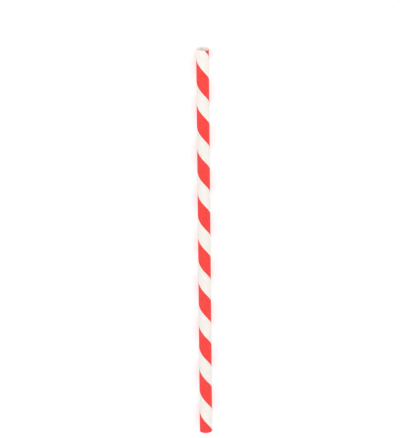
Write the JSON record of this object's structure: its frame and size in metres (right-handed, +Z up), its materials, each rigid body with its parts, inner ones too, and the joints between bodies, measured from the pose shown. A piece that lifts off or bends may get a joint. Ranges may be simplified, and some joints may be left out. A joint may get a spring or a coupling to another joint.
{
  "type": "paper drinking straw",
  "caption": "Straight spiral-wound paper drinking straw, open at both ends, white with a red helical stripe.",
  "frame": {"origin": "on the straw's axis at the middle of its length", "axes": "+X along the axis towards the mouth end, +Z up; the straw lies on its side and touches the table along its lowest line"},
  "size_m": [0.197, 0.006, 0.006],
  "materials": {
    "white_paper": "smooth calendered white paper, spiral wound, with a faint fibre texture",
    "red_paper": "the same paper under an even matt coat of red food-safe ink"
  },
  "bodies": {
    "root": {"paper_tube": "white_paper", "red_stripe": "red_paper"}
  },
  "joints": []
}
